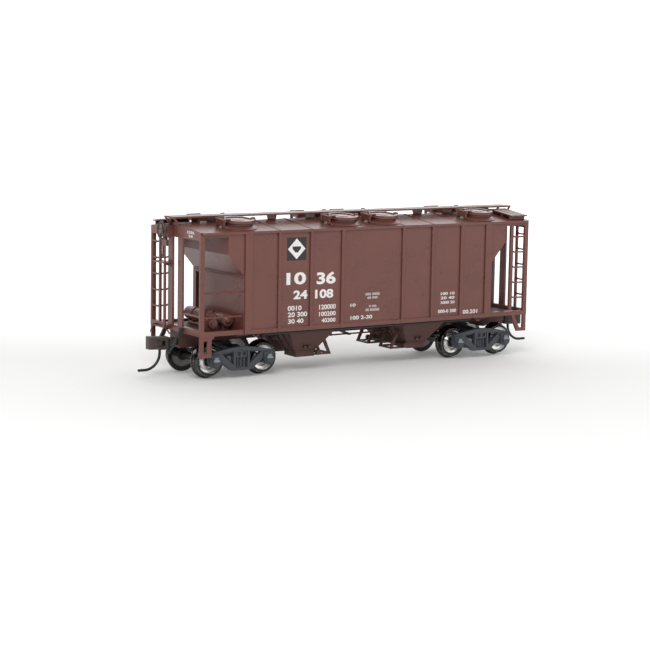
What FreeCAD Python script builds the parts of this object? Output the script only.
"""HO-scale two-bay covered hopper car, built as separate pieces.

Millimetres. X runs along the car, Y across it and Z up. The origin is the centre of the car on the
plane of the rail heads. The hand brake is on the -X end, which railways call the B end.
Most details repeat when the car is turned half a turn about Z, so they are built once at the +X end.
"""
import FreeCAD, Part
import math
import os

V = FreeCAD.Vector
X_AXIS = V(1, 0, 0)
Y_AXIS = V(0, 1, 0)
Z_AXIS = V(0, 0, 1)

# ---- driving dimensions -------------------------------------------------------------------------
HALF_LENGTH = 62.0        # over the end sills
HALF_WIDTH = 15.8         # over the side sheets
SKIN = 0.8                # thickness of every body sheet
SILL_BOTTOM = 13.3        # underside of the side sill
SIDE_TOP = 43.8           # underside of the roof eave
EAVE_TOP = 44.6
RIDGE_TOP = 46.6
EAVE_HALF_WIDTH = 16.4
PANEL_PITCH = 11.5        # between the side ribs
BULKHEAD = 46.9           # outer face of each vertical bulkhead
END_WALL = 52.45          # outer face of each upper end wall
SLOPE_FOOT = 31.0         # where the slope sheet meets the bulkhead
SLOPE_HEAD = 37.7         # where the slope sheet meets the end wall
END_SILL_TOP = 15.2
PLATE_BOTTOM = 42.15      # lower edge of the peaked end plate
PLATE_THICK = 0.5
POST_WIDTH = 1.45         # corner post, along the car
POST_DEPTH = 0.9          # corner post, across the car
TRUCK_CENTRE = 45.8       # kingpins, from the middle of the car
HALF_WHEELBASE = 9.4
TREAD_RADIUS = 4.8
BACK_TO_BACK = 14.4       # between the wheel backs, for 16.5 mm gauge
TREAD_WIDTH = 2.75        # whole width of a wheel
HOPPER_CENTRE = 21.2
SPOUT_BOTTOM = 5.6
COUPLER_PIVOT = 56.0
KNUCKLE_PIN = (67.9, 1.35)

INNER_HALF_WIDTH = HALF_WIDTH - SKIN
PLATE_INNER = HALF_LENGTH - PLATE_THICK
POST_INNER = HALF_LENGTH - POST_WIDTH


# ---- small building blocks ----------------------------------------------------------------------
def box(x0, x1, y0, y1, z0, z1):
    """Block between two opposite corners."""
    return Part.makeBox(x1 - x0, y1 - y0, z1 - z0, V(x0, y0, z0))


def cylinder(radius, start, end):
    """Round bar from start to end."""
    axis = V(*end) - V(*start)
    return Part.makeCylinder(radius, axis.Length, V(*start), axis)


def cone(radius_start, radius_end, start, end):
    """Tapered round bar from start to end."""
    axis = V(*end) - V(*start)
    return Part.makeCone(radius_start, radius_end, axis.Length, V(*start), axis)


def plate(points, along):
    """Flat polygon face through points, swept along a vector."""
    corners = [V(*p) for p in points]
    return Part.Face(Part.makePolygon(corners + corners[:1])).extrude(V(*along))


def plate_xz(points, y0, y1):
    """Outline in the side view, between two distances across the car."""
    return plate([(x, y0, z) for x, z in points], (0, y1 - y0, 0))


def plate_yz(points, x0, x1):
    """Outline in the end view, between two distances along the car."""
    return plate([(x0, y, z) for y, z in points], (x1 - x0, 0, 0))


def plate_xy(points, z0, z1):
    """Outline in the plan view, between two heights."""
    return plate([(x, y, z0) for x, y in points], (0, 0, z1 - z0))


def rod(points, radius):
    """Round wire through points, with ball corners."""
    pieces = [cylinder(radius, a, b) for a, b in zip(points, points[1:])]
    pieces += [Part.makeSphere(radius, V(*p)) for p in points[1:-1]]
    return fuse(pieces)


def curve_points(start, leave, arrive, end, steps):
    """Points along a smooth curve that leaves start towards one point and arrives from another."""
    places = []
    for i in range(steps + 1):
        t = i / steps
        weights = ((1 - t) ** 3, 3 * t * (1 - t) ** 2, 3 * t * t * (1 - t), t ** 3)
        corners = zip(start, leave, arrive, end)
        places.append(tuple(sum(w * c for w, c in zip(weights, values)) for values in corners))
    return places


def fuse(shapes):
    """One solid made of overlapping or touching shapes."""
    return shapes[0].multiFuse(shapes[1:]).removeSplitter() if len(shapes) > 1 else shapes[0]


def group(shapes):
    """Separate solids kept in one node."""
    return Part.makeCompound(shapes)


def move(shape, x=0.0, y=0.0, z=0.0):
    """Copy of a shape, shifted."""
    copy = shape.copy()
    copy.translate(V(x, y, z))
    return copy


def turn(shape, degrees, centre=(0, 0, 0), axis=Z_AXIS):
    """Copy of a shape, turned about an axis."""
    copy = shape.copy()
    copy.rotate(V(*centre), axis, degrees)
    return copy


def flip_y(shape):
    """Mirror image across the car's centre line."""
    return shape.mirror(V(0, 0, 0), Y_AXIS)


def flip_x(shape):
    """Mirror image from end to end."""
    return shape.mirror(V(0, 0, 0), X_AXIS)


def other_end(shape):
    """The same piece at the -X end, turned half a turn."""
    return turn(shape, 180)


def both_ends(shape):
    """A piece and its copy at the other end."""
    return group([shape, other_end(shape)])


def roof_height(y):
    """Height of the roof's upper face at a distance from the centre line."""
    return RIDGE_TOP - (RIDGE_TOP - EAVE_TOP) * abs(y) / EAVE_HALF_WIDTH


def save(name, shape):
    """Write one node."""
    shape.exportStep(os.path.join("parts", name + ".step"))


# ---- body shell ---------------------------------------------------------------------------------
RIB_WIDTH = 1.0
RIB_DEPTH = 0.5
STAKE_INNER = 44.1
STAKE_OUTER = 46.7
SILL_STRIP_TOP = 14.9
SILL_STRIP_DEPTH = 0.4
RIB_PANELS = (-3, -2, -1, 1, 2, 3)
SLOT_OUTER = -14.1        # tall slot in each bulkhead, on the ladder side of that end
SLOT_INNER = -11.4
FLOOR_TOP = 14.1


def shell_outline(inset):
    """Side view of the hopper body, moved inwards by inset along each sheet's normal."""
    slope = (SLOPE_HEAD - SLOPE_FOOT) / (END_WALL - BULKHEAD)
    lift = inset * math.hypot(1, slope)
    foot = (BULKHEAD - inset, SLOPE_FOOT + lift - slope * inset)
    head = (END_WALL - inset, SLOPE_HEAD + lift - slope * inset)
    overrun = 1.0 if inset else 0.0
    right = [(foot[0], SILL_BOTTOM - overrun), foot, head, (head[0], SIDE_TOP + overrun)]
    left = [(-x, z) for x, z in reversed(right)]
    return right + left


def side_rib(x):
    """Pressed rib on the -Y side, with a gusset that flares out under the eave."""
    face = -HALF_WIDTH
    bar = box(x - RIB_WIDTH / 2, x + RIB_WIDTH / 2, face - RIB_DEPTH, face, SILL_BOTTOM, SIDE_TOP)
    flare = 0.12
    gusset_drop = 1.8
    profile = [
        (face, SIDE_TOP),
        (face - RIB_DEPTH - flare, SIDE_TOP),
        (face - RIB_DEPTH, SIDE_TOP - gusset_drop),
        (face, SIDE_TOP - gusset_drop),
    ]
    gusset = plate_yz(profile, x - RIB_WIDTH / 2, x + RIB_WIDTH / 2)
    return [bar, gusset]


def sill_strip():
    """Reinforcing strip along the bottom of one side, with a chamfered upper edge."""
    face = -HALF_WIDTH
    chamfer = 0.35
    profile = [
        (face, SILL_BOTTOM),
        (face - SILL_STRIP_DEPTH, SILL_BOTTOM),
        (face - SILL_STRIP_DEPTH, SILL_STRIP_TOP - chamfer),
        (face, SILL_STRIP_TOP),
    ]
    return plate_yz(profile, -STAKE_INNER, STAKE_INNER)


def body_shell():
    """Hollow side sheets, slope sheets and bulkheads, open at the top and bottom."""
    outer = plate_xz(shell_outline(0), -HALF_WIDTH, HALF_WIDTH)
    shell = outer.cut(plate_xz(shell_outline(SKIN), -INNER_HALF_WIDTH, INNER_HALF_WIDTH))
    near = [sill_strip()]
    for panel in RIB_PANELS:
        near += side_rib(panel * PANEL_PITCH)
    stake = box(STAKE_INNER, STAKE_OUTER, -HALF_WIDTH - RIB_DEPTH, -HALF_WIDTH, SILL_BOTTOM, SIDE_TOP)
    near += [stake, flip_x(stake)]
    lap_bottom = SLOPE_FOOT - 0.9
    lap = box(BULKHEAD, BULKHEAD + 0.3, -INNER_HALF_WIDTH, INNER_HALF_WIDTH, lap_bottom, lap_bottom + 0.4)
    solid = fuse([shell] + near + [flip_y(s) for s in near] + [lap, flip_x(lap)])
    slot = box(BULKHEAD - SKIN - 1, BULKHEAD + 1, SLOT_OUTER, SLOT_INNER, FLOOR_TOP + 0.6, lap_bottom - 0.4)
    return solid.cut(slot).cut(other_end(slot))


# ---- roof and hatches ---------------------------------------------------------------------------
NEAR_HATCHES = (-45.4, -7.6, 7.6, 45.4)
HATCH_Y = -9.1
COAMING_RADIUS = 4.4
COAMING_HEIGHT = 1.8      # measured along the hatch's own axis, as are the lid and its hinge
COAMING_FOOT_RADIUS = 6.1
LID_RADIUS = 5.05
LID_TOP = 2.2
LID_RIM_TOP = 2.45
ROOF_PITCH = math.degrees(math.atan2(RIDGE_TOP - EAVE_TOP, EAVE_HALF_WIDTH))
HATCH_PITCH = ROOF_PITCH - 2.0   # the hatches stand a little flatter than the roof


def on_roof(shape, x):
    """Copy of a piece modelled about a hatch's own axis, set on the -Y roof slope."""
    return move(turn(shape, HATCH_PITCH, axis=X_AXIS), x, HATCH_Y, roof_height(HATCH_Y))


def all_hatches(pieces):
    """The pieces of one hatch, repeated on both roof slopes."""
    near = [on_roof(piece, x) for x in NEAR_HATCHES for piece in pieces]
    return near + [flip_y(piece) for piece in near]


def coaming():
    """Round hatch neck with a collar and a spreading foot, about the hatch's own axis."""
    foot_height = 0.75
    skirt_depth = 0.4
    collar = (0.85, 1.2)
    foot = cone(COAMING_FOOT_RADIUS, COAMING_RADIUS + 0.35, (0, 0, 0), (0, 0, foot_height))
    skirt = cylinder(COAMING_FOOT_RADIUS, (0, 0, -skirt_depth), (0, 0, 0))
    neck = cylinder(COAMING_RADIUS, (0, 0, -skirt_depth), (0, 0, COAMING_HEIGHT))
    band = cylinder(COAMING_RADIUS + 0.25, (0, 0, collar[0]), (0, 0, collar[1]))
    return fuse([foot, skirt, neck, band])


def roof():
    """Peaked roof sheet with raised seams and eight hatch coamings."""
    sheet = 0.9
    profile = [
        (-EAVE_HALF_WIDTH, SIDE_TOP),
        (-EAVE_HALF_WIDTH, EAVE_TOP),
        (0, RIDGE_TOP),
        (EAVE_HALF_WIDTH, EAVE_TOP),
        (EAVE_HALF_WIDTH, SIDE_TOP),
        (INNER_HALF_WIDTH, SIDE_TOP),
        (0, RIDGE_TOP - sheet),
        (-INNER_HALF_WIDTH, SIDE_TOP),
    ]
    pieces = [plate_yz(profile, -PLATE_INNER, PLATE_INNER)]
    seam_height = 0.12
    seam_width = 0.45
    end = EAVE_HALF_WIDTH - 0.3
    edge = [(-end, roof_height(end) - 0.1), (-end, roof_height(end) + seam_height)]
    seam = edge + [(0, RIDGE_TOP + seam_height)] + [(-y, z) for y, z in reversed(edge)]
    for panel in range(-4, 5):
        x = panel * PANEL_PITCH
        pieces.append(plate_yz(seam, x - seam_width / 2, x + seam_width / 2))
    return fuse(pieces + all_hatches([coaming()]))


def hatch_cover():
    """Round lid with a turned-down skirt, a broad raised rim and a low raised centre."""
    skirt_bottom = COAMING_HEIGHT - 0.25
    rim_width = 1.0
    crown_radius = 2.1
    skirt = cylinder(LID_RADIUS, (0, 0, skirt_bottom), (0, 0, COAMING_HEIGHT))
    skirt = skirt.cut(cylinder(COAMING_RADIUS + 0.12, (0, 0, skirt_bottom), (0, 0, COAMING_HEIGHT)))
    disc = cylinder(LID_RADIUS, (0, 0, COAMING_HEIGHT), (0, 0, LID_TOP))
    rim = cylinder(LID_RADIUS, (0, 0, LID_TOP), (0, 0, LID_RIM_TOP))
    rim = rim.cut(cylinder(LID_RADIUS - rim_width, (0, 0, LID_TOP), (0, 0, LID_RIM_TOP)))
    crown = cone(crown_radius, crown_radius - 0.3, (0, 0, LID_TOP), (0, 0, LID_TOP + 0.15))
    return fuse([skirt, disc, rim, crown])


def hatch_latch():
    """Hinge bar on a two-legged bracket with two arms over the lid, and the catch opposite it."""
    bar_x = -LID_RADIUS - 1.05
    bar_z = LID_RIM_TOP - 0.15
    bar_half = 2.8
    foot = 0.12
    arm_bottom = LID_RIM_TOP + 0.02
    arm_end = -LID_RADIUS + 1.2
    hinge = [cylinder(0.38, (bar_x, -bar_half, bar_z), (bar_x, bar_half, bar_z))]
    hinge.append(box(bar_x - 0.2, bar_x + 0.2, -1.9, 1.9, foot + 0.5, bar_z))
    for y in (-1.9, 1.9):
        hinge.append(box(bar_x - 0.35, bar_x + 0.35, y - 0.4, y + 0.4, foot, bar_z))
        hinge.append(box(bar_x - 0.3, arm_end, y - 0.3, y + 0.3, arm_bottom, arm_bottom + 0.35))
        hinge.append(box(bar_x - 0.3, bar_x + 0.3, y - 0.3, y + 0.3, bar_z, arm_bottom + 0.35))
    edge = LID_RADIUS + 0.02
    catch = box(edge, edge + 0.75, -0.55, 0.55, COAMING_HEIGHT - 0.9, LID_RIM_TOP + 0.1)
    claw = box(edge - 0.6, edge + 0.75, -0.3, 0.3, arm_bottom, arm_bottom + 0.3)
    return [fuse(hinge), fuse([catch, claw])]


# ---- running board and lateral platforms --------------------------------------------------------
BOARD_HALF_LENGTH = 64.3
BOARD_HALF_WIDTH = 3.0
BOARD_BOTTOM = 48.0
BOARD_THICK = 0.55
SADDLES = (-55.0, -49.4, -40.2, -27.9, -13.5, 13.5, 27.9, 40.2, 49.4, 55.0)


def running_board():
    """Three long planks side by side, with narrow grooves between them."""
    top = BOARD_BOTTOM + BOARD_THICK
    end = BOARD_HALF_LENGTH
    board = box(-end, end, -BOARD_HALF_WIDTH, BOARD_HALF_WIDTH, BOARD_BOTTOM, top)
    groove_width = 0.2
    groove_depth = 0.25
    for y in (-1.0, 1.0):
        board = board.cut(box(-end, end, y - groove_width / 2, y + groove_width / 2, top - groove_depth, top))
    return board


def board_saddles():
    """Pressed brackets that carry the running board along the ridge and past each end."""
    half_thick = 0.25
    shapes = []
    for x in SADDLES:
        profile = [(-2.1, roof_height(2.1)), (0, RIDGE_TOP), (2.1, roof_height(2.1)), (2.7, BOARD_BOTTOM)]
        profile.append((-2.7, BOARD_BOTTOM))
        shapes.append(plate_yz(profile, x - half_thick, x + half_thick))
    for sign in (-1, 1):
        for y in (-2.75, 2.75):
            foot_z = 45.7
            leg = plate_xz(
                [
                    (HALF_LENGTH, foot_z),
                    (HALF_LENGTH + 0.4, foot_z),
                    (BOARD_HALF_LENGTH - 0.1, BOARD_BOTTOM),
                    (BOARD_HALF_LENGTH - 0.7, BOARD_BOTTOM),
                    (HALF_LENGTH, foot_z + 0.5),
                ],
                y - 0.25,
                y + 0.25,
            )
            shapes.append(leg if sign > 0 else flip_x(leg))
    return group(shapes)


def lateral_platform():
    """Three-plank platform from the running board to the corner, a little flatter than the roof."""
    inner = -3.15
    outer = -15.0
    inner_bottom = 47.25
    outer_bottom = 45.85
    thick = 0.45
    plank = 2.0
    gap = 0.3
    underside = [(inner, inner_bottom), (outer, outer_bottom)]
    outline = underside + [(y, z + thick) for y, z in reversed(underside)]
    start = HALF_LENGTH - 0.1 - 3 * plank - 2 * gap
    edges = [start + i * (plank + gap) for i in range(3)]
    pieces = [plate_yz(outline, x, x + plank) for x in edges]
    for y in (inner - 1.2, -9.5, outer + 1.2):
        base = roof_height(abs(y) - 0.3)
        share = (y - outer) / (inner - outer)
        top = outer_bottom + share * (inner_bottom - outer_bottom) + 0.2
        pieces.append(box(start, PLATE_INNER - 0.05, y - 0.3, y + 0.3, base, top))
    return fuse(pieces)


# ---- end frames, ladders, rails and steps -------------------------------------------------------
INNER_POST = (1.7, 4.5)
INNER_POST_DEPTH = 0.7
LADDER_RAIL = (54.64, 55.84)
BAY_SILL_TOP = 14.75
END_LADDER_RAIL = (9.8, 10.6)
RUNG_PITCH = 5.03
TOP_RUNG = 39.3
RUNG_COUNT = 5
RUNG_RADIUS = 0.27
RAIL_RADIUS = 0.3
RAIL_HEIGHTS = (26.35, 18.95)


def end_frame():
    """Peaked end plate, corner and inner posts, end sill and the open bay's sills at the +X end."""
    edge = HALF_WIDTH
    peak = [(-edge, PLATE_BOTTOM), (edge, PLATE_BOTTOM), (edge, roof_height(edge)), (0, RIDGE_TOP)]
    peak.append((-edge, roof_height(edge)))
    pieces = [plate_yz(peak, PLATE_INNER, HALF_LENGTH)]
    pieces.append(box(HALF_LENGTH - 1.1, HALF_LENGTH, -edge, edge, SILL_BOTTOM, END_SILL_TOP))
    near = [box(POST_INNER, HALF_LENGTH, -edge, -edge + POST_DEPTH, SILL_BOTTOM, PLATE_BOTTOM)]
    near.append(box(POST_INNER, PLATE_INNER, -edge, -edge + POST_DEPTH, PLATE_BOTTOM, SIDE_TOP))
    near.append(box(HALF_LENGTH - INNER_POST_DEPTH, HALF_LENGTH, -INNER_POST[1], -INNER_POST[0],
                    END_SILL_TOP, PLATE_BOTTOM))
    near.append(box(BULKHEAD, POST_INNER, -edge, -edge + 1.1, SILL_BOTTOM, BAY_SILL_TOP))
    near.append(box(END_WALL, POST_INNER, -edge, -edge + SKIN, SIDE_TOP - 0.8, SIDE_TOP))
    return fuse(pieces + near + [flip_y(s) for s in near])


def rung_heights():
    """Heights of the ladder rungs, from the top down."""
    return [TOP_RUNG - i * RUNG_PITCH for i in range(RUNG_COUNT)]


def side_ladder():
    """Ladder on the -Y side of the +X end; the corner post is its outer rail."""
    rail = box(LADDER_RAIL[0], LADDER_RAIL[1], -HALF_WIDTH, -HALF_WIDTH + 0.8, SILL_STRIP_TOP, SIDE_TOP - 0.8)
    drop = 0.35
    y = -HALF_WIDTH + 0.2
    pieces = [rail]
    for z in rung_heights():
        left = LADDER_RAIL[1]
        right = POST_INNER
        front = y - 0.15
        path = [(left - 0.1, y, z + drop), (left + 0.5, front, z)]
        path += [(right - 0.5, front, z), (right, y, z + drop)]
        pieces.append(rod(path, RUNG_RADIUS))
    return fuse(pieces).cut(box(POST_INNER, HALF_LENGTH, -HALF_WIDTH - 1, 0, SILL_BOTTOM, SIDE_TOP))


def end_ladder():
    """Ladder on the end, between its own inner rail and the corner post."""
    inner, outer = END_LADDER_RAIL
    post = -HALF_WIDTH + POST_DEPTH
    rail = box(HALF_LENGTH - 0.7, HALF_LENGTH, -outer, -inner, END_SILL_TOP, PLATE_BOTTOM)
    drop = 0.35
    x = HALF_LENGTH - 0.35
    front = x + 0.15
    pieces = [rail]
    for z in rung_heights():
        height = z + 0.55
        path = [(x, -outer + 0.1, height + drop), (front, -outer - 0.5, height)]
        path += [(front, post + 0.5, height), (x, post, height + drop)]
        pieces.append(rod(path, RUNG_RADIUS))
    return fuse(pieces).cut(box(POST_INNER, HALF_LENGTH + 1, -HALF_WIDTH, post, SILL_BOTTOM, SIDE_TOP))


def handrails():
    """Side rails and an end rail at the corner without ladders, on the +Y side of the +X end."""
    y = HALF_WIDTH - 0.45
    rails = [cylinder(RAIL_RADIUS, (BULKHEAD, y, z), (POST_INNER, y, z)) for z in RAIL_HEIGHTS]
    x = HALF_LENGTH - 0.35
    end_rail = cylinder(RAIL_RADIUS, (x, INNER_POST[1], 19.2), (x, HALF_WIDTH - POST_DEPTH, 19.2))
    return rails + [end_rail]


def ladder_stirrup():
    """Step below the ladders: an upright outer leg, a sloping inner leg and a tread."""
    outer = HALF_LENGTH - 0.1
    tread_bottom = 7.9
    tread_top = 9.0
    outline = [(outer - 1.3, SILL_BOTTOM), (outer - 1.3, tread_top), (59.2, tread_top), (57.1, SILL_BOTTOM)]
    outline += [(55.8, SILL_BOTTOM), (58.2, tread_bottom), (outer, tread_bottom), (outer, SILL_BOTTOM)]
    return plate_xz(outline, -HALF_WIDTH, -HALF_WIDTH + 0.75)


def rail_stirrup():
    """Step below the handrails: a closed rectangular frame with a small gusset."""
    left = 58.0
    right = HALF_LENGTH
    y0 = HALF_WIDTH - 0.75
    frame = box(left, right, y0, HALF_WIDTH, 6.9, SILL_BOTTOM)
    hole = box(left + 1.3, right - 1.3, y0 - 0.1, HALF_WIDTH + 0.1, 8.2, 12.0)
    tread = box(left + 1.3, right - 1.3, y0 - 0.6, HALF_WIDTH, 7.9, 8.3)
    corner = [(left, SILL_BOTTOM), (left, 12.3), (left - 0.9, 12.7), (left - 0.9, SILL_BOTTOM)]
    gusset = plate_xz(corner, y0, HALF_WIDTH)
    return fuse([frame.cut(hole), tread, gusset])


def roping_loop(x, y):
    """Half ring for a tow rope, hanging from the side sill."""
    ring = Part.makeTorus(0.95, 0.24, V(x, y, SILL_BOTTOM), Y_AXIS)
    return ring.common(box(x - 2, x + 2, y - 1, y + 1, SILL_BOTTOM - 2, SILL_BOTTOM))


# ---- hand brake, on the -X end ------------------------------------------------------------------
BRAKE_Y = 3.2
WHEEL_HEIGHT = 44.0
HOUSING_FRONT = -63.9
BRAKE_WHEEL_RADIUS = 2.85
STEP_TOP = 34.4
STEP_BOTTOM = 33.95
ROD_X = -63.8
CHIN_BOTTOM = 39.3


def wheel_shaft(radius, x0, x1):
    """Round bar on the hand wheel's axis."""
    return cylinder(radius, (x0, BRAKE_Y, WHEEL_HEIGHT), (x1, BRAKE_Y, WHEEL_HEIGHT))


def brake_housing():
    """Gear housing on the end plate, with a bored hole for the hand wheel's stub and a chin below."""
    half = 1.9
    bottom = 41.9
    body = box(HOUSING_FRONT, -HALF_LENGTH, BRAKE_Y - half, BRAKE_Y + half, bottom, 45.6)
    neck = box(ROD_X - 0.35, ROD_X + 0.45, BRAKE_Y - 0.9, BRAKE_Y + 0.9, 41.0, bottom + 0.4)
    chin = box(ROD_X - 0.35, ROD_X + 0.45, BRAKE_Y - 1.5, BRAKE_Y + 1.5, CHIN_BOTTOM, 41.0)
    boss = wheel_shaft(1.1, HOUSING_FRONT - 0.25, HOUSING_FRONT + 0.5)
    bore = wheel_shaft(0.5, HOUSING_FRONT - 0.3, -HALF_LENGTH - 0.4)
    return fuse([body, chin, neck, boss]).cut(bore)


def brake_wheel():
    """Hand wheel: round rim, five curved-in spokes, a hub and a stub that turns in the housing."""
    rim_x = HOUSING_FRONT - 1.1
    hub_x = HOUSING_FRONT - 0.3
    rim = Part.makeTorus(BRAKE_WHEEL_RADIUS - 0.28, 0.28, V(rim_x, BRAKE_Y, WHEEL_HEIGHT), X_AXIS)
    hub = wheel_shaft(0.7, hub_x - 0.75, hub_x)
    stub = wheel_shaft(0.44, hub_x, -HALF_LENGTH - 0.55)
    pieces = [rim, hub, stub]
    for i in range(5):
        angle = math.radians(90 + 72 * i)
        reach = BRAKE_WHEEL_RADIUS - 0.3
        tip = (rim_x, BRAKE_Y + reach * math.cos(angle), WHEEL_HEIGHT + reach * math.sin(angle))
        pieces.append(cylinder(0.17, (hub_x - 0.4, BRAKE_Y, WHEEL_HEIGHT), tip))
    return fuse(pieces)


def brake_rods():
    """Rod from the housing to the step, its guide, and the rod from the step to a bell crank."""
    pull = cylinder(0.3, (ROD_X, BRAKE_Y, STEP_TOP), (ROD_X, BRAKE_Y, CHIN_BOTTOM))
    guide_y = BRAKE_Y + 1.2
    guide_foot = 35.9
    guide = cylinder(0.3, (ROD_X, guide_y, guide_foot), (ROD_X, guide_y, CHIN_BOTTOM))
    bell = cone(0.45, 0.3, (ROD_X, guide_y, guide_foot), (ROD_X, guide_y, guide_foot + 0.8))
    crank = box(ROD_X - 0.5, -HALF_LENGTH, BRAKE_Y - 0.5, BRAKE_Y + 0.5, 14.1, 15.0)
    lower = cylinder(0.45, (ROD_X, BRAKE_Y, 15.0), (ROD_X, BRAKE_Y, STEP_BOTTOM))
    return group([pull, fuse([guide, bell]), fuse([crank, lower])])


def brake_step():
    """Small platform for whoever turns the hand brake, on two brackets."""
    y0 = 1.4
    y1 = 8.6
    front = -HALF_LENGTH - 2.9
    pieces = [box(front, -HALF_LENGTH, y0, y1, STEP_BOTTOM, STEP_TOP)]
    for y in (1.9, 4.3):
        outline = [(-HALF_LENGTH, STEP_BOTTOM), (front + 1.2, STEP_BOTTOM), (-HALF_LENGTH, STEP_BOTTOM - 1.1)]
        pieces.append(plate_xz(outline, y - 0.15, y + 0.15))
    return fuse(pieces)


# ---- air brake gear on the -X platform ----------------------------------------------------------
PLATFORM_TOP = 14.0
CYLINDER_AXIS = (-49.3, 17.2)
CYLINDER_RADIUS = 1.85
TANK_AXIS = (-50.6, 17.2)
TANK_RADIUS = 2.0


def brake_cylinder():
    """Brake cylinder lying across the platform, with flanged heads and two feet."""
    x, z = CYLINDER_AXIS
    near = -10.4
    far = -4.0
    pieces = [cylinder(CYLINDER_RADIUS, (x, near, z), (x, far, z))]
    for y in (near + 0.3, far - 0.8):
        pieces.append(cylinder(CYLINDER_RADIUS + 0.2, (x, y, z), (x, y + 0.5, z)))
    pieces.append(cone(0.7, 1.3, (x, near - 0.6, z), (x, near, z)))
    pieces.append(cylinder(0.3, (x, far, z), (x, far + 2.8, z)))
    for y in (-8.7, -5.7):
        pieces.append(box(x - 1.0, x + 1.0, y - 0.4, y + 0.4, PLATFORM_TOP, z))
    return fuse(pieces)


def air_reservoir():
    """Two-part air tank lying across the platform beside the centre line."""
    x, z = TANK_AXIS
    pieces = [cylinder(TANK_RADIUS, (x, 1.5, z), (x, 11.5, z))]
    pieces.append(cylinder(TANK_RADIUS + 0.25, (x, 6.3, z), (x, 6.8, z)))
    pieces.append(cone(TANK_RADIUS, 1.2, (x, 11.5, z), (x, 12.0, z)))
    pieces.append(cone(1.2, TANK_RADIUS, (x, 1.0, z), (x, 1.5, z)))
    for y in (3.0, 10.0):
        pieces.append(box(x - 1.1, x + 1.1, y - 0.4, y + 0.4, PLATFORM_TOP, z))
    return fuse(pieces)


def control_valve():
    """Air brake valve: a pipe bracket, a round-faced valve body towards the side and a top portion."""
    left = -56.7
    right = -53.0
    face_x = -54.7
    face_z = 16.4
    pieces = [box(left, right, -9.9, -7.2, PLATFORM_TOP, 18.2)]
    pieces.append(cylinder(1.45, (face_x, -11.0, face_z), (face_x, -9.9, face_z)))
    pieces.append(cylinder(0.8, (face_x, -11.4, face_z), (face_x, -11.0, face_z)))
    pieces.append(box(-55.2, right, -8.9, -7.2, 18.2, 19.4))
    pieces.append(cylinder(0.8, (-54.1, -8.05, 19.4), (-54.1, -8.05, 20.1)))
    return fuse(pieces)


def air_pipes():
    """Pipe from the valve to the tank, and a hooked pipe from the valve to the cylinder."""
    radius = 0.25
    bracket_face = -53.0
    x, z = TANK_AXIS
    tank_pipe = rod([(-54.5, -7.2, 15.2), (-54.5, 4.6, 15.2), (x - 1.0, 4.6, 16.0)], radius)
    tank_pipe = tank_pipe.cut(cylinder(TANK_RADIUS, (x, 1.0, z), (x, 12.0, z)))
    x, z = CYLINDER_AXIS
    y = -7.6
    hook = rod([(bracket_face, y, 17.6), (-52.5, y, 17.6), (-51.8, y, 18.4), (x - 1.0, y, z)], radius)
    hook = hook.cut(cylinder(CYLINDER_RADIUS, (x, -11.0, z), (x, -4.0, z)))
    return group([tank_pipe, hook])


# ---- underframe ---------------------------------------------------------------------------------
SILL_HALF_WIDTH = 3.0
SILL_DEPTH_BOTTOM = 10.0
BOX_INNER_END = 53.3
BOX_HALF_WIDTH = 2.4
BOX_BOTTOM = 9.2
BOX_TOP = 11.2
BOSS_BOTTOM = 9.3
PIVOT_POST_RADIUS = 1.3
COVER_SCREW_RADIUS = 0.6
KINGPIN_RADIUS = 0.95
KINGPIN_HEAD_RADIUS = 2.1


def bolster():
    """Cross bearer over a truck, deep at the centre sill and shallow at the side sills."""
    outline = [(-13.0, 13.3), (-13.0, 12.4), (-4.5, 10.9), (4.5, 10.9), (13.0, 12.4), (13.0, 13.3)]
    return plate_yz(outline, TRUCK_CENTRE - 1.9, TRUCK_CENTRE + 1.9)


def upright(radius, x, z0, z1):
    """Round bar standing on the car's centre line."""
    return cylinder(radius, (x, 0, z0), (x, 0, z1))


def underframe():
    """Floor, centre sill, bolsters, end platforms and coupler boxes as one casting."""
    clear = 0.05
    floor_end = BULKHEAD - SKIN - clear
    floor_side = INNER_HALF_WIDTH - clear
    floor = box(-floor_end, floor_end, -floor_side, floor_side, SILL_BOTTOM, FLOOR_TOP)
    sill_side = SILL_HALF_WIDTH
    sill = box(-HALF_LENGTH, HALF_LENGTH, -sill_side, sill_side, SILL_DEPTH_BOTTOM, SILL_BOTTOM)
    rim = 1.1 + clear
    deck_side = HALF_WIDTH - rim
    deck = box(BULKHEAD + clear, HALF_LENGTH - rim, -deck_side, deck_side, SILL_BOTTOM, PLATFORM_TOP)
    boss = upright(2.7, TRUCK_CENTRE, BOSS_BOTTOM, SILL_DEPTH_BOTTOM)
    pocket = box(BOX_INNER_END - 0.8, HALF_LENGTH, -sill_side, sill_side, BOX_BOTTOM, SILL_DEPTH_BOTTOM)
    end = [deck, bolster(), boss, pocket]
    body = fuse([floor, sill] + end + [other_end(s) for s in end])
    cavity = box(BOX_INNER_END, HALF_LENGTH + 1, -BOX_HALF_WIDTH, BOX_HALF_WIDTH, BOX_BOTTOM - 1, BOX_TOP)
    post = upright(PIVOT_POST_RADIUS, COUPLER_PIVOT, BOX_BOTTOM, BOX_TOP)
    screw_hole = upright(COVER_SCREW_RADIUS + 0.02, COUPLER_PIVOT, BOX_BOTTOM - 1, BOX_TOP + 0.8)
    kingpin_hole = upright(KINGPIN_RADIUS + 0.02, TRUCK_CENTRE, BOSS_BOTTOM - 1, 12.8)
    body = body.cut(cavity).cut(other_end(cavity))
    body = fuse([body, post, other_end(post)])
    for hole in (screw_hole, kingpin_hole):
        body = body.cut(hole).cut(other_end(hole))
    return body


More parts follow.
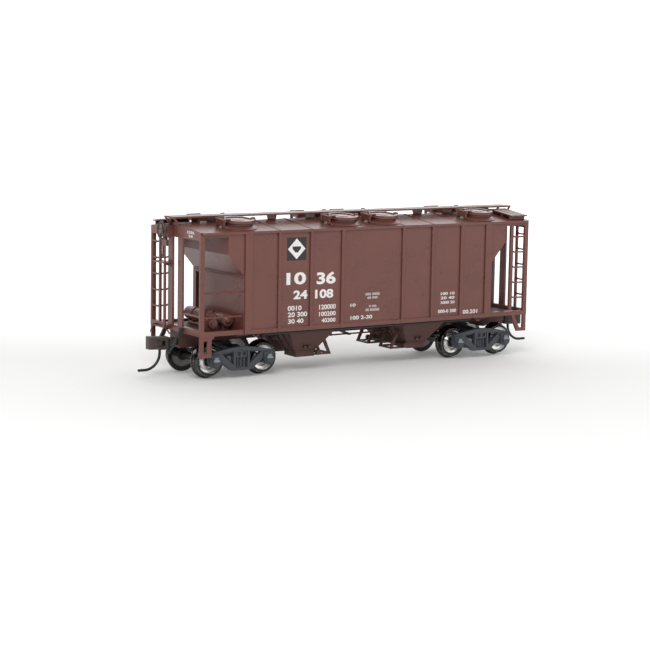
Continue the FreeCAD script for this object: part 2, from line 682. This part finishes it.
def coupler_cover():
    """Plate that closes the coupler box from below."""
    side = SILL_HALF_WIDTH
    lid = box(BOX_INNER_END - 0.8, HALF_LENGTH - 0.1, -side, side, BOX_BOTTOM - 0.7, BOX_BOTTOM)
    return lid.cut(upright(COVER_SCREW_RADIUS + 0.05, COUPLER_PIVOT, BOX_BOTTOM - 1, BOX_BOTTOM + 1))


def screw(x, head_radius, shank_radius, head_bottom, head_top, tip):
    """Round-head screw pointing up, with a straight slot across its head."""
    solid = upright(head_radius, x, head_bottom, head_top)
    solid = solid.fuse(upright(shank_radius, x, head_top, tip))
    slot = box(x - head_radius, x + head_radius, -0.2, 0.2, head_bottom, head_bottom + 0.35)
    return solid.cut(slot)


def centring_spring():
    """Thin bronze plate above the coupler's shank, with wings down both box walls."""
    thin = 0.12
    top = BOX_TOP - 0.02
    length = (BOX_INNER_END + 0.3, HALF_LENGTH - 1.0)
    half = BOX_HALF_WIDTH - 0.02
    web = box(length[0], length[1], -half, half, top - thin, top)
    web = web.cut(upright(PIVOT_POST_RADIUS + 0.1, COUPLER_PIVOT, BOX_BOTTOM, BOX_TOP))
    wing = box(57.5, length[1], half - thin, half, BOX_BOTTOM + 0.1, top)
    return fuse([web, wing, flip_y(wing)])


def uncoupling_lever():
    """Bent rod from the coupler pocket to the corner, in two eyes on the end sill."""
    x = HALF_LENGTH + 0.75
    path = [(x + 0.2, -1.6, 12.4), (x, -4.2, 13.8), (x, -13.2, 13.8), (x, -14.2, 11.4)]
    pieces = [rod(path, 0.24)]
    for y in (-5.2, -12.4):
        pieces.append(box(HALF_LENGTH, x + 0.45, y - 0.25, y + 0.25, 13.35, 14.25))
    return fuse(pieces)


def air_hose():
    """Brake hose with its cock on the end sill and a coupling head at the free end."""
    y = 4.9
    x = HALF_LENGTH
    cock = box(x, x + 1.0, y - 0.55, y + 0.55, 13.4, 14.6)
    handle = box(x + 0.3, x + 0.7, y - 1.0, y + 1.0, 14.6, 14.9)
    course = curve_points((x + 0.9, y, 13.9), (x + 2.4, y, 12.6), (x + 2.2, y, 9.6), (x + 4.6, y, 8.0), 10)
    hose = rod(course, 0.4)
    head = box(x + 4.3, x + 5.4, y - 0.45, y + 0.45, 7.3, 8.3)
    return fuse([cock, handle, hose, head])


def train_line():
    """Brake pipe hung just below the side sill between the trucks."""
    y = -15.3
    z = 12.85
    pieces = [cylinder(0.36, (-40.0, y, z), (39.3, y, z))]
    for x in (-34.0, -11.5, 11.5, 34.0):
        pieces.append(box(x - 0.4, x + 0.4, y - 0.2, y + 0.2, z, SILL_BOTTOM))
    return fuse(pieces)


def brake_rigging():
    """Pull rods and levers of the brake gear between the hopper bays."""
    near_rod = rod([(-12.6, -4.4, 9.3), (-3.0, -4.4, 9.3), (12.6, -4.4, 9.3)], 0.26)
    far_rod = cylinder(0.26, (-12.6, 4.4, 9.0), (12.6, 4.4, 9.0))
    lever = plate_xy([(-1.6, -4.9), (-0.6, -4.9), (1.6, 4.9), (0.6, 4.9)], 8.9, 9.4)
    places = [(x, y) for x in (-8.0, 8.0) for y in (-4.4, 4.4)]
    hangers = [box(x - 0.3, x + 0.3, y - 0.3, y + 0.3, 9.0, SILL_BOTTOM) for x, y in places]
    return fuse([near_rod, far_rod, lever] + hangers)


def ballast_weight():
    """Steel bar that lies on the floor and brings the car to its running weight."""
    top = FLOOR_TOP + 4.0
    bar = box(-38, 38, -12.5, 12.5, FLOOR_TOP, top)
    return bar.cut(cylinder(2.0, (0, 0, FLOOR_TOP), (0, 0, top)))


# ---- hopper bays and outlet gates ---------------------------------------------------------------
SPOUT_INNER = 3.2
SPOUT_OUTER = 9.9
SPOUT_TOP_OUTER = 14.9
SPOUT_HALF_LENGTH = 3.5
SPOUT_TOP_HALF_LENGTH = 8.85
GATE_BOTTOM = 4.0
GATE_REACH = 11.5
GATE_HALF_LENGTH = 3.3
RAIL_BOTTOM = 4.2
RAIL_TOP = 4.75
SHAFT_X = 16.7
SHAFT_Z = 5.15


def spout_frame(z, inset):
    """Rectangle around one spout at a height, moved inwards by inset."""
    share = (z - SPOUT_BOTTOM) / (SILL_BOTTOM - SPOUT_BOTTOM)
    half = SPOUT_HALF_LENGTH + share * (SPOUT_TOP_HALF_LENGTH - SPOUT_HALF_LENGTH) - inset
    outer = SPOUT_OUTER + share * (SPOUT_TOP_OUTER - SPOUT_OUTER) - inset
    inner = SPOUT_INNER + inset
    x0 = HOPPER_CENTRE - half
    x1 = HOPPER_CENTRE + half
    corners = [V(x0, -outer, z), V(x1, -outer, z), V(x1, -inner, z), V(x0, -inner, z)]
    return Part.makePolygon(corners + corners[:1])


def hopper_bay():
    """Two hollow spouts, one each side of the centre sill, joined under it, at the +X bay."""
    wall = 0.7
    solid = Part.makeLoft([spout_frame(SPOUT_BOTTOM, 0), spout_frame(SILL_BOTTOM, 0)], True)
    hollow = Part.makeLoft([spout_frame(SPOUT_BOTTOM, wall), spout_frame(SILL_BOTTOM, wall)], True)
    flange_half = SPOUT_HALF_LENGTH + 0.35
    flange = box(HOPPER_CENTRE - flange_half, HOPPER_CENTRE + flange_half, -SPOUT_OUTER - 0.35, -SPOUT_INNER,
                 SPOUT_BOTTOM, SPOUT_BOTTOM + 0.35)
    extras = [flange]
    for x in (HOPPER_CENTRE - 0.6, HOPPER_CENTRE + 1.0):
        extras.append(cylinder(0.45, (x, -11.9, 7.2), (x, -10.0, 7.2)))
    for y in (-12.6, -8.2, -4.2):
        for side in (-1, 1):
            foot = HOPPER_CENTRE + side * (SPOUT_HALF_LENGTH + 0.3)
            head = HOPPER_CENTRE + side * (SPOUT_TOP_HALF_LENGTH + 0.35)
            inner = HOPPER_CENTRE + side * SPOUT_HALF_LENGTH
            foot_z = SPOUT_BOTTOM if y > -9 else SPOUT_BOTTOM + 4.6
            if y < -9:
                foot = HOPPER_CENTRE + side * (SPOUT_HALF_LENGTH + 3.2)
            outline = [(foot, foot_z), (head, SILL_BOTTOM), (head - side * 1.2, SILL_BOTTOM), (inner, foot_z)]
            extras.append(plate_xz(outline, y - 0.25, y + 0.25))
    spout = fuse([solid] + extras).cut(hollow)
    saddle = box(HOPPER_CENTRE - 5.0, HOPPER_CENTRE + 5.0, -SPOUT_INNER - 0.1, SPOUT_INNER + 0.1, 8.4, 9.95)
    return fuse([spout, flip_y(spout), saddle])


def outlet_gate():
    """Gate frame under one spout, its two long rails, and struts from the rail ends to the slope."""
    near = HOPPER_CENTRE - GATE_HALF_LENGTH
    far = HOPPER_CENTRE + GATE_HALF_LENGTH
    width = 0.8
    rails = []
    for y in (-SPOUT_OUTER - 0.1, -SPOUT_INNER - width + 0.1):
        rails.append(box(GATE_REACH, far, y, y + width, RAIL_BOTTOM, RAIL_TOP))
        rails.append(box(near, far, y, y + width, GATE_BOTTOM, SPOUT_BOTTOM))
        slope = (SPOUT_TOP_HALF_LENGTH - SPOUT_HALF_LENGTH) / (SILL_BOTTOM - SPOUT_BOTTOM)
        strut = [(GATE_REACH, RAIL_TOP - 0.1), (GATE_REACH + 0.9, RAIL_TOP - 0.1)]
        for z in (9.6, 10.7):
            strut.append((HOPPER_CENTRE - SPOUT_HALF_LENGTH - slope * (z - SPOUT_BOTTOM) - 0.03, z))
        rails.append(plate_xz(strut, y + 0.1, y + width - 0.1))
    span = (-SPOUT_OUTER, -SPOUT_INNER)
    ends = [box(x, x + 0.8, span[0], span[1], GATE_BOTTOM, SPOUT_BOTTOM) for x in (near, far - 0.8)]
    cross = box(GATE_REACH, GATE_REACH + 0.7, span[0], span[1], RAIL_BOTTOM, RAIL_TOP)
    slide = box(near - 1.2, far, span[0], span[1], RAIL_BOTTOM + 0.1, RAIL_TOP - 0.1)
    return fuse(rails + ends + [cross, slide])


def gate_shaft():
    """Cross shaft that opens both gates of a bay, with a capstan boss at each end."""
    reach = 10.4
    pieces = [cylinder(0.38, (SHAFT_X, -reach, SHAFT_Z), (SHAFT_X, reach, SHAFT_Z))]
    for y0, y1 in ((-reach - 0.8, -reach + 0.05), (reach - 0.05, reach + 0.8)):
        pieces.append(cylinder(0.8, (SHAFT_X, y0, SHAFT_Z), (SHAFT_X, y1, SHAFT_Z)))
    return fuse(pieces)


# ---- trucks, modelled about their own centre, then moved ----------------------------------------
FRAME_INNER = 11.5
FRAME_OUTER = 12.7
BOX_RADIUS = 1.75
LID_FACE = -14.35
LID_LIP = 5.15
CENTRE_PLATE_TOP = 9.25
BOLSTER_BOTTOM = 6.2
AXLE_Z = TREAD_RADIUS
CONE_TIP = 12.4
CONE_BASE = 11.0
AXLE_RADIUS = 1.15


def side_frame():
    """Cast side frame on the -Y side: arched top chord, two windows and a spring pocket."""
    half = [(0.0, 9.2), (3.6, 8.95), (8.0, 8.2), (11.3, 7.5), (11.4, 4.8), (7.7, 4.8), (3.4, 1.9), (0.0, 1.9)]
    outline = half + [(-x, z) for x, z in reversed(half[1:-1])]
    web = plate_xz(outline, -FRAME_OUTER, -FRAME_INNER)
    pocket = [(-2.0, 3.1), (2.0, 3.1), (2.0, 7.9), (-2.0, 7.9)]
    window = [(2.9, 7.5), (7.1, 7.0), (2.9, 3.9)]
    cutters = [pocket] + [[(sign * x, z) for x, z in window] for sign in (-1, 1)]
    for cutter in cutters:
        web = web.cut(plate_xz(cutter, -FRAME_OUTER - 1, -FRAME_INNER + 1))
    face = -FRAME_OUTER - 0.4
    top = [(0, 9.2), (3.6, 8.95), (8.0, 8.2), (11.3, 7.5), (11.1, 6.7), (7.6, 7.3), (3.6, 7.85), (0, 8.1)]
    tie = [(8.3, 7.8), (7.3, 7.6), (2.5, 3.4), (2.5, 1.9), (3.4, 1.9), (8.3, 5.7)]
    column = [(2.1, 2.4), (2.8, 2.4), (2.8, 8.2), (2.1, 8.2)]
    trims = [box(-3.1, 3.1, face, -FRAME_OUTER, 1.9, 2.7)]
    for sign in (-1, 1):
        for trim in (top, tie, column):
            trims.append(plate_xz([(sign * x, z) for x, z in trim], face, -FRAME_OUTER))
        trims += journal_box(sign * HALF_WHEELBASE)
    return [web] + trims


def journal_box(x):
    """Rounded journal box over one axle end, with the lower lip of its lid."""
    barrel = cylinder(BOX_RADIUS, (x, -13.9, AXLE_Z), (x, -FRAME_INNER, AXLE_Z))
    shoulder = box(x - BOX_RADIUS, x + BOX_RADIUS, -13.6, -FRAME_INNER, AXLE_Z, 7.1)
    lip = cylinder(1.2, (x, LID_FACE, AXLE_Z), (x, -13.9, AXLE_Z))
    lip = lip.common(box(x - 2, x + 2, LID_FACE, -13.9, AXLE_Z - 2, LID_LIP - 0.05))
    return [barrel, shoulder, lip]


def springs():
    """Spring nest in one side frame, moulded as stacked coils under a pierced bolster end."""
    pieces = []
    for x in (-1.15, 0.0, 1.15):
        pieces.append(cylinder(0.42, (x, -12.2, 2.9), (x, -12.2, 6.1)))
        for i in range(4):
            z = 3.3 + i * 0.72
            pieces.append(cylinder(0.56, (x, -12.2, z), (x, -12.2, z + 0.32)))
    end = box(-1.95, 1.95, -12.9, -FRAME_INNER, 5.9, 8.0)
    for x in (-0.9, 0.9):
        end = end.cut(box(x - 0.55, x + 0.55, -13.0, -12.4, 6.4, 7.5))
    return pieces + [end]


def truck_frame():
    """One-piece truck: two side frames, a bolster with its centre plate, and conical journals."""
    near = side_frame() + springs()
    brake_z = 4.4
    bolster_outline = [(-FRAME_INNER, 7.9), (-4.5, CENTRE_PLATE_TOP - 0.5), (4.5, CENTRE_PLATE_TOP - 0.5)]
    bolster_outline += [(FRAME_INNER, 7.9), (FRAME_INNER, 6.6), (4.0, BOLSTER_BOTTOM), (-4.0, BOLSTER_BOTTOM)]
    bolster_outline.append((-FRAME_INNER, 6.6))
    pieces = near + [flip_y(s) for s in near]
    pieces.append(plate_yz(bolster_outline, -1.9, 1.9))
    pieces.append(cylinder(3.3, (0, 0, BOLSTER_BOTTOM), (0, 0, CENTRE_PLATE_TOP)))
    for sign in (-1, 1):
        pieces.append(box(sign * 2.9 - 0.45, sign * 2.9 + 0.45, -9.3, 9.3, brake_z, brake_z + 0.9))
        for y in (-4.0, 4.0):
            hanger = [(2.5, brake_z + 0.2), (3.3, brake_z + 0.2), (3.3, brake_z + 0.9)]
            hanger += [(1.8, 8.0), (0.8, 8.0)]
            pieces.append(plate_xz([(sign * x, z) for x, z in hanger], y - 0.4, y + 0.4))
        for y in (-8.7, 8.7):
            shoe = [(3.0, 3.2), (4.0, 3.2), (3.7, 6.0), (3.0, 6.0)]
            pieces.append(plate_xz([(sign * x, z) for x, z in shoe], y - 0.6, y + 0.6))
    solid = fuse(pieces)
    solid = solid.cut(upright(KINGPIN_RADIUS + 0.08, 0, 3, 11))
    solid = solid.cut(upright(KINGPIN_HEAD_RADIUS + 0.15, 0, 3, BOLSTER_BOTTOM + 0.9))
    clear = 0.06
    for x in (-HALF_WHEELBASE, HALF_WHEELBASE):
        for side in (-1, 1):
            mouth = (x, side * CONE_BASE, AXLE_Z)
            tip = (x, side * (CONE_TIP + 0.1), AXLE_Z)
            solid = solid.cut(cone(AXLE_RADIUS + clear, 0.12, mouth, tip))
    return solid


def journal_lids():
    """Four half-round journal box lids, each sloping out from its hinge to its lip."""
    lids = []
    back = -13.9
    radius = 1.0
    hinge_z = LID_LIP + radius
    for x in (-HALF_WHEELBASE, HALF_WHEELBASE):
        round_bar = cylinder(radius, (x, LID_FACE - 0.4, LID_LIP), (x, back, LID_LIP))
        slope = [(back, LID_LIP), (LID_FACE - 0.3, LID_LIP), (back - 0.1, hinge_z), (back, hinge_z)]
        pin = cylinder(0.28, (x - 0.6, back - 0.05, hinge_z), (x + 0.6, back - 0.05, hinge_z))
        pin = pin.cut(box(x - 1, x + 1, back, back + 1, hinge_z - 1, hinge_z + 1))
        lids.append(fuse([round_bar.common(plate_yz(slope, x - 2, x + 2)), pin]))
    return group(lids + [flip_y(lid) for lid in lids])


def axle():
    """Round axle with pointed ends that run in the conical journals."""
    middle = cylinder(AXLE_RADIUS, (0, -CONE_BASE, AXLE_Z), (0, CONE_BASE, AXLE_Z))
    points = [cone(AXLE_RADIUS, 0.08, (0, s * CONE_BASE, AXLE_Z), (0, s * CONE_TIP, AXLE_Z)) for s in (-1, 1)]
    return fuse([middle] + points)


def revolve_y(points):
    """Solid of revolution about the axle line, from (distance across, radius) points."""
    corners = [V(0, y, AXLE_Z + r) for y, r in points]
    face = Part.Face(Part.makePolygon(corners + corners[:1]))
    return face.revolve(V(0, 0, AXLE_Z), Y_AXIS, 360)


BUSH_RADIUS = 1.6


def wheel():
    """Metal wheel on the +Y side: flange, coned tread, dished plate and hub."""
    back = BACK_TO_BACK / 2
    face = back + TREAD_WIDTH
    flange = TREAD_RADIUS + 0.62
    flange_side = [(back, BUSH_RADIUS), (back, flange - 0.25), (back + 0.22, flange), (back + 0.5, flange)]
    tread_side = [
        (back + 0.78, flange - 0.3),
        (back + 0.95, TREAD_RADIUS + 0.05),
        (face - 0.2, TREAD_RADIUS - 0.06),
        (face, TREAD_RADIUS - 0.25),
        (face, TREAD_RADIUS - 0.95),
    ]
    dish = [(face - 0.75, TREAD_RADIUS - 1.2), (face - 0.95, 2.9), (face - 0.5, 2.25), (face, 2.1)]
    return revolve_y(flange_side + tread_side + dish + [(face, BUSH_RADIUS)])


def bush():
    """Insulating sleeve between the axle and a wheel."""
    back = BACK_TO_BACK / 2
    face = back + TREAD_WIDTH
    collar = [(back - 0.3, AXLE_RADIUS), (back - 0.3, 1.95), (back, 1.95)]
    return revolve_y(collar + [(back, BUSH_RADIUS), (face + 0.05, BUSH_RADIUS), (face + 0.05, AXLE_RADIUS)])


# ---- couplers, at the +X end --------------------------------------------------------------------
SHANK_BOTTOM = 9.3
SHANK_TOP = 10.95
HEAD_BOTTOM = 8.15
HEAD_TOP = 11.75
JAW_BOTTOM = 9.3
JAW_TOP = 10.9
KNUCKLE_BOTTOM = 8.45
KNUCKLE_TOP = 12.25
TRIP_RADIUS = 0.42
TRIP_END = 75.2


def coupler():
    """Coupler body: pivot ring, shank, head with a guard arm, and a jaw for the knuckle."""
    ring = upright(2.0, COUPLER_PIVOT, SHANK_BOTTOM, SHANK_TOP)
    shank = box(COUPLER_PIVOT, 65.0, -1.15, 1.15, SHANK_BOTTOM, SHANK_TOP)
    plan = [(64.4, -1.6), (64.4, 1.6), (65.4, 2.3), (68.6, 2.5), (68.6, 0.4), (68.2, 0.2), (68.2, -1.0)]
    plan += [(69.7, -2.1), (70.2, -2.7), (69.6, -3.1), (67.2, -2.5), (65.4, -2.1)]
    head = plate_xy(plan, HEAD_BOTTOM, HEAD_TOP)
    jaw = box(66.45, 69.0, -0.1, 3.0, JAW_BOTTOM, JAW_TOP)
    body = fuse([ring, shank, head.cut(jaw)])
    body = body.cut(upright(PIVOT_POST_RADIUS + 0.07, COUPLER_PIVOT, HEAD_BOTTOM, HEAD_TOP))
    x, y = KNUCKLE_PIN
    return body.cut(cylinder(TRIP_RADIUS, (x, y, HEAD_BOTTOM - 1), (x, y, HEAD_TOP + 1)))


def knuckle():
    """Hooked knuckle on a thin ring that turns about the trip pin."""
    x, y = KNUCKLE_PIN
    bottom = JAW_BOTTOM + 0.08
    top = JAW_TOP - 0.08
    ring = cylinder(1.0, (x, y, bottom), (x, y, top))
    arm = box(x, 69.7, y - 0.45, y + 1.0, bottom, top)
    plan = [(69.4, 2.6), (71.3, 2.6), (71.85, 2.0), (71.85, -0.2), (71.3, -0.9), (70.4, -0.9), (70.1, 0.4)]
    plan.append((69.4, 0.9))
    block = plate_xy(plan, KNUCKLE_BOTTOM, KNUCKLE_TOP)
    bore = cylinder(TRIP_RADIUS + 0.07, (x, y, HEAD_BOTTOM - 1), (x, y, HEAD_TOP + 1))
    return fuse([ring, arm, block]).cut(bore)


def trip_pin():
    """Steel pin that hinges the knuckle and curves forward below the head to a flat foot."""
    x, y = KNUCKLE_PIN
    foot_z = 2.2
    bend = 5.0
    pin_top = HEAD_TOP + 0.1
    inset = bend * (1 - math.cos(math.pi / 4))
    upper = V(x, y, foot_z + bend)
    lower = V(x + bend, y, foot_z)
    curve = Part.Arc(upper, V(x + inset, y, foot_z + inset), lower).toShape()
    straight = Part.makeLine(V(x, y, pin_top), upper)
    foot = Part.makeLine(lower, V(TRIP_END, y, foot_z))
    path = Part.Wire([straight, curve, foot])
    section = Part.Wire([Part.makeCircle(TRIP_RADIUS, V(x, y, pin_top), Z_AXIS)])
    return path.makePipeShell([section], True, True)


# ---- write every node ---------------------------------------------------------------------------
def main():
    os.makedirs("parts", exist_ok=True)
    save("body_shell", body_shell())
    save("roof", roof())
    save("hatch_covers", group(all_hatches([hatch_cover()])))
    save("hatch_latches", group(all_hatches(hatch_latch())))
    save("running_board", running_board())
    save("board_saddles", board_saddles())
    save("lateral_platforms", both_ends(lateral_platform()))
    save("end_frame_a", end_frame())
    save("end_frame_b", other_end(end_frame()))
    save("side_ladders", both_ends(side_ladder()))
    save("end_ladders", both_ends(end_ladder()))
    rails = handrails()
    save("handrails", group(rails + [other_end(rail) for rail in rails]))
    steps = [ladder_stirrup(), rail_stirrup()]
    save("stirrup_steps", group(steps + [other_end(step) for step in steps]))
    save("roping_loops", group([roping_loop(x, y) for x in (-42.3, 42.3) for y in (-15.35, 15.35)]))
    save("brake_housing", brake_housing())
    save("brake_wheel", brake_wheel())
    save("brake_rods", brake_rods())
    save("brake_step", brake_step())
    save("brake_cylinder", brake_cylinder())
    save("air_reservoir", air_reservoir())
    save("control_valve", control_valve())
    save("air_pipes", air_pipes())
    save("underframe", underframe())
    save("coupler_covers", both_ends(coupler_cover()))
    cover_screw = screw(COUPLER_PIVOT, 1.2, COVER_SCREW_RADIUS, 7.9, 8.5, 11.7)
    save("cover_screws", both_ends(cover_screw))
    kingpin_screw = screw(TRUCK_CENTRE, KINGPIN_HEAD_RADIUS, KINGPIN_RADIUS, 6.0, 7.05, 12.5)
    save("kingpin_screws", both_ends(kingpin_screw))
    save("centring_springs", both_ends(centring_spring()))
    save("uncoupling_levers", both_ends(uncoupling_lever()))
    save("air_hoses", both_ends(air_hose()))
    save("train_line", train_line())
    save("brake_rigging", brake_rigging())
    save("ballast_weight", ballast_weight())
    save("hopper_bay_a", hopper_bay())
    save("hopper_bay_b", other_end(hopper_bay()))
    gates = [outlet_gate(), flip_y(outlet_gate())]
    save("outlet_gates", group(gates + [other_end(gate) for gate in gates]))
    save("gate_shafts", both_ends(gate_shaft()))
    for end, centre in (("a", TRUCK_CENTRE), ("b", -TRUCK_CENTRE)):
        save("truck_frame_" + end, move(truck_frame(), centre))
        save("journal_lids_" + end, move(journal_lids(), centre))
    axle_places = (-TRUCK_CENTRE - HALF_WHEELBASE, -TRUCK_CENTRE + HALF_WHEELBASE,
                   TRUCK_CENTRE - HALF_WHEELBASE, TRUCK_CENTRE + HALF_WHEELBASE)
    for number, x in enumerate(axle_places, 1):
        save("axle_%d" % number, move(axle(), x))
        save("wheels_%d" % number, move(group([wheel(), flip_y(wheel())]), x))
        save("wheel_bushes_%d" % number, move(group([bush(), flip_y(bush())]), x))
    save("coupler_a", coupler())
    save("coupler_b", other_end(coupler()))
    save("knuckle_a", knuckle())
    save("knuckle_b", other_end(knuckle()))
    save("trip_pin_a", trip_pin())
    save("trip_pin_b", other_end(trip_pin()))


main()
